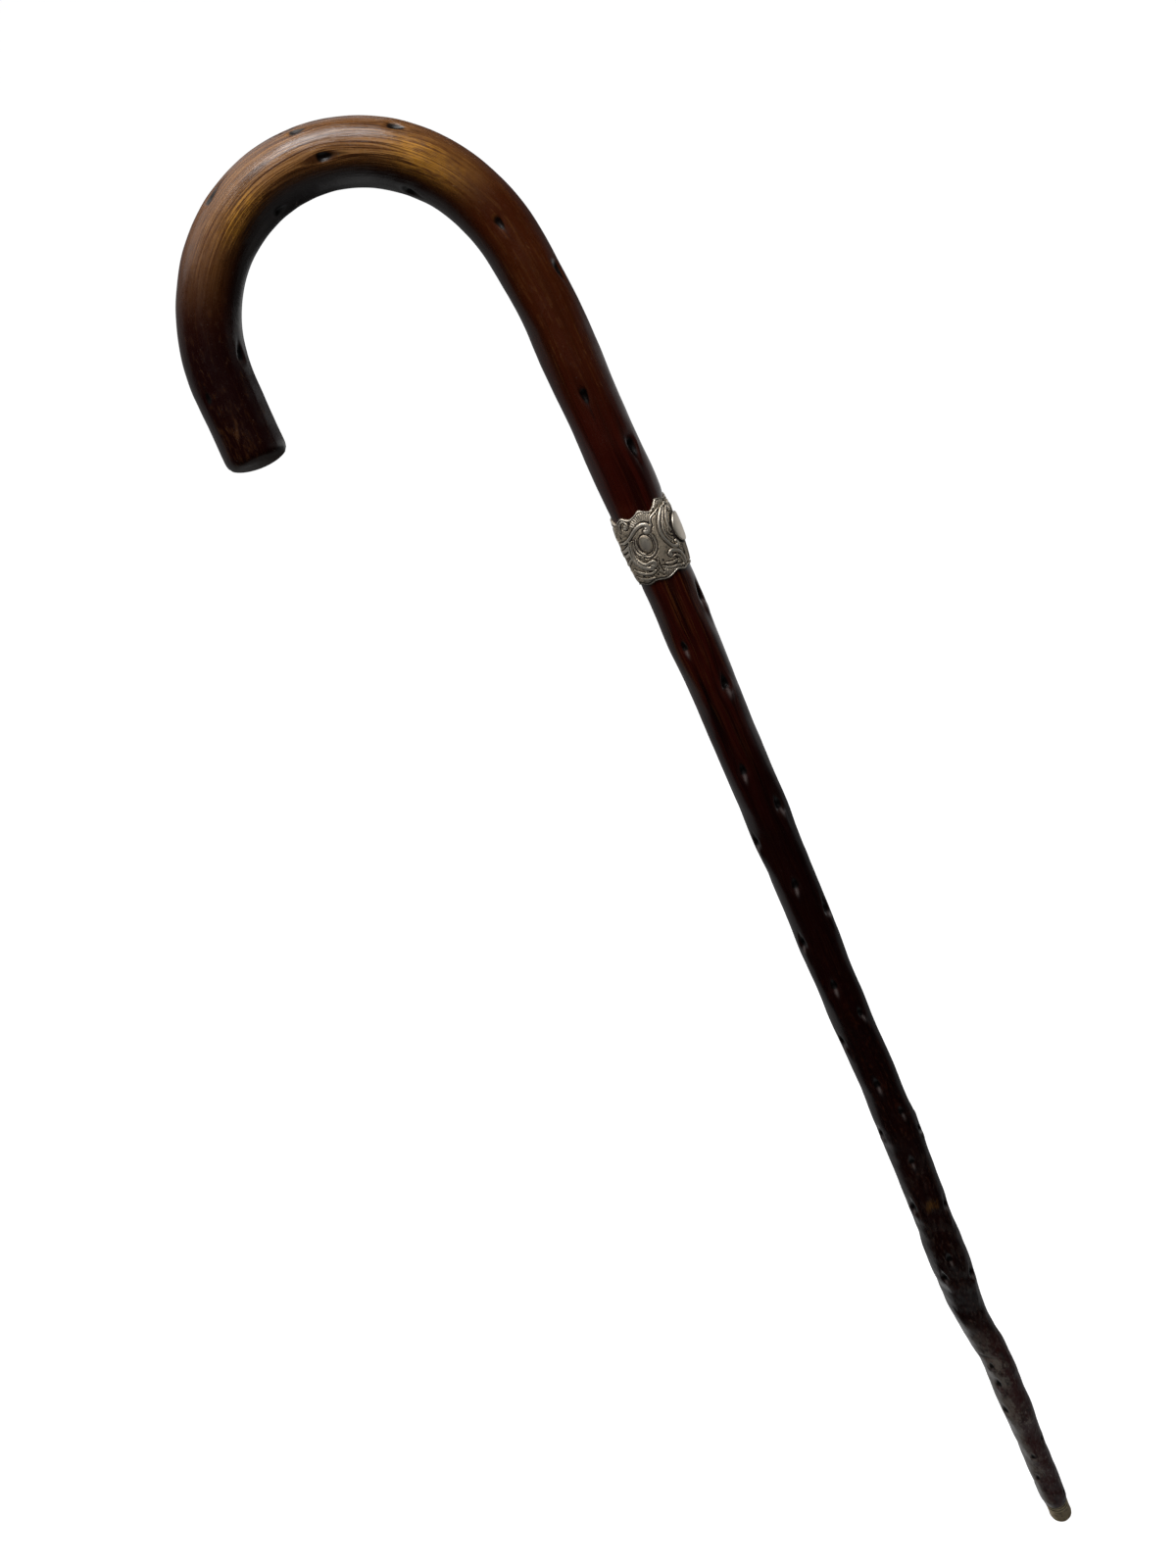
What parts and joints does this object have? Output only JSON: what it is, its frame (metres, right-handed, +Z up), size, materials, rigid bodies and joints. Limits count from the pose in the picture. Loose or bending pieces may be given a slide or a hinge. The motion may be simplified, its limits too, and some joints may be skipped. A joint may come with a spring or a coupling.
{
  "type": "walking cane",
  "caption": "Crook-handled walking cane: a bent knotty stick with a scalloped silver collar, a plain cartouche plate and a brass ferrule.",
  "frame": {"origin": "centre of the flat on the bottom of the ferrule, where the cane meets the ground", "axes": "+Z up along the shaft, -X towards the free end of the crook, -Y towards the viewer of the picture; the crook lies in the XZ plane"},
  "size_m": [0.1732, 0.0299, 0.885],
  "materials": {
    "wood": "dark red-brown stain under worn gloss varnish, honey-brown round the crook",
    "silver": "chased silver sheet, polished on its high parts and tarnished dark in the hollows",
    "pitch": "hard black pitch",
    "brass": "dull, scuffed and tarnished"
  },
  "bodies": {
    "root": {"stick": "wood", "collar_shell": "silver", "collar_pitch": "pitch", "cartouche_plate": "silver", "collar_pins": "silver", "ferrule": "brass", "ferrule_pin": "brass"}
  },
  "joints": []
}
